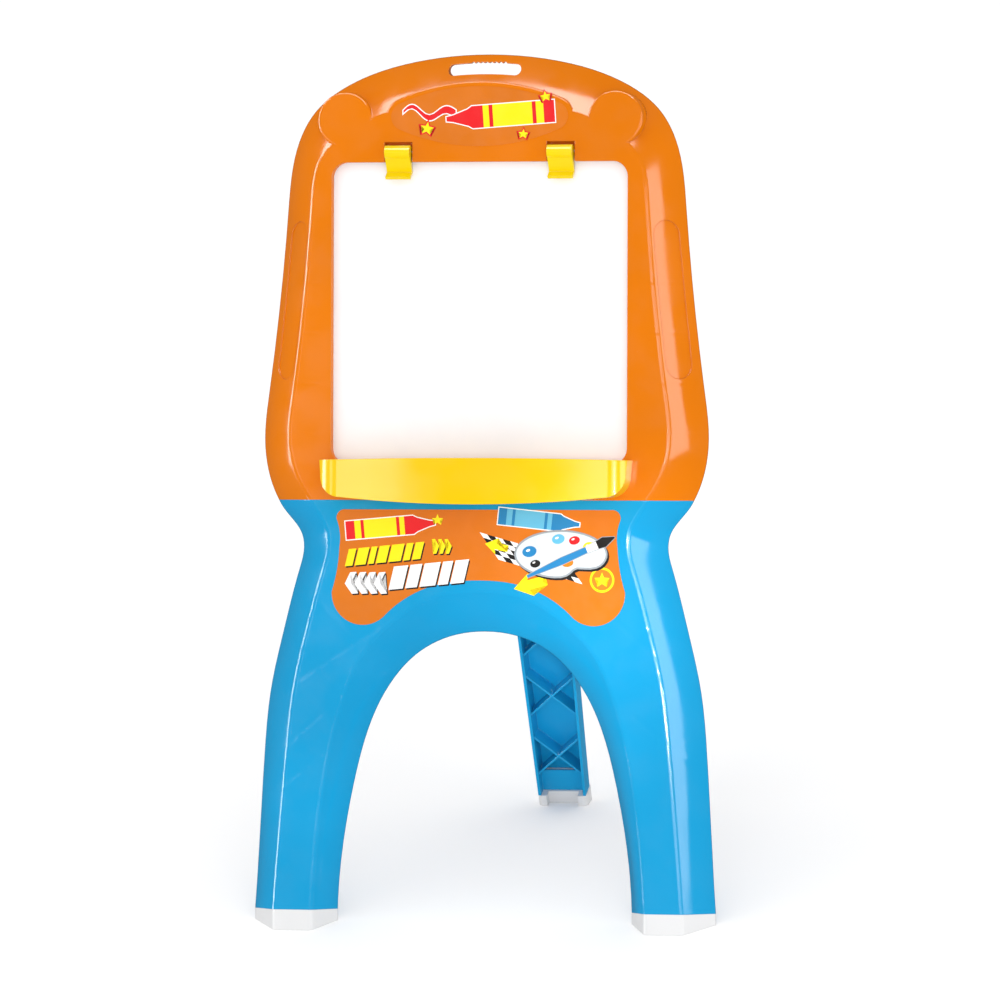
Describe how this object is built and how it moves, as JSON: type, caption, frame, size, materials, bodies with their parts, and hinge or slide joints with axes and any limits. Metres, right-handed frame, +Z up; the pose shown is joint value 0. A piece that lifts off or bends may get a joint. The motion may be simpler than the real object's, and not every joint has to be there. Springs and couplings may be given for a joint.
{
  "type": "kids easel",
  "caption": "Free-standing child's easel: moulded frame with whiteboard, pen tray, paper clips, arched front legs and a folding rear leg.",
  "frame": {"origin": "on the floor, at the middle of the easel's footprint box", "axes": "+Z up; -Y is the side the child draws on; +X to the right when facing the board"},
  "size_m": [0.5472, 0.5107, 0.9652],
  "materials": {
    "orange_plastic": "gloss",
    "blue_plastic": "gloss",
    "white_board": "gloss",
    "hardboard": "matt",
    "zinc_steel": "satin",
    "tray_yellow": "gloss",
    "clip_yellow": "gloss",
    "spring_steel": "satin",
    "white_plastic": "satin",
    "label_print": "gloss"
  },
  "bodies": {
    "front_panel": {"upper_frame": "orange_plastic", "leg_frame": "blue_plastic", "whiteboard_face": "white_board", "board_backing": "hardboard", "board_screws": "zinc_steel", "board_washers": "zinc_steel", "pen_tray": "tray_yellow", "tray_screws": "zinc_steel", "tray_washers": "zinc_steel", "clip_pin_left": "zinc_steel", "clip_pin_right": "zinc_steel", "clip_spring_left": "spring_steel", "clip_spring_right": "spring_steel", "hinge_bracket": "orange_plastic", "hinge_bracket_screws": "zinc_steel", "hinge_pin": "zinc_steel", "hinge_pin_caps": "white_plastic", "front_foot_left": "white_plastic", "front_foot_right": "white_plastic", "front_foot_screws": "zinc_steel", "seam_screws": "zinc_steel", "badge_label": "label_print", "bridge_label": "label_print"},
    "rear_leg": {"rear_leg": "blue_plastic", "rear_foot": "white_plastic", "rear_foot_screw": "zinc_steel"},
    "left_clip": {"paper_clip_left": "clip_yellow"},
    "right_clip": {"paper_clip_right": "clip_yellow"}
  },
  "joints": [
    {"name": "rear_leg_fold", "type": "hinge", "parent": "front_panel", "child": "rear_leg", "pos_m": [0, 0.05945, 0.8876], "axis": [-1, 0, 0], "range_deg": [0, 27.5]},
    {"name": "left_clip_pivot", "type": "hinge", "parent": "front_panel", "child": "left_clip", "pos_m": [-0.096, 0.00078, 0.86437], "axis": [-1, 0, 0], "range_deg": [0, 18], "stiffness_Nm_per_rad": 0.06, "springref_deg": -28.65},
    {"name": "right_clip_pivot", "type": "hinge", "parent": "front_panel", "child": "right_clip", "pos_m": [0.096, 0.00078, 0.86437], "axis": [-1, 0, 0], "range_deg": [0, 18], "stiffness_Nm_per_rad": 0.06, "springref_deg": -28.65}
  ]
}
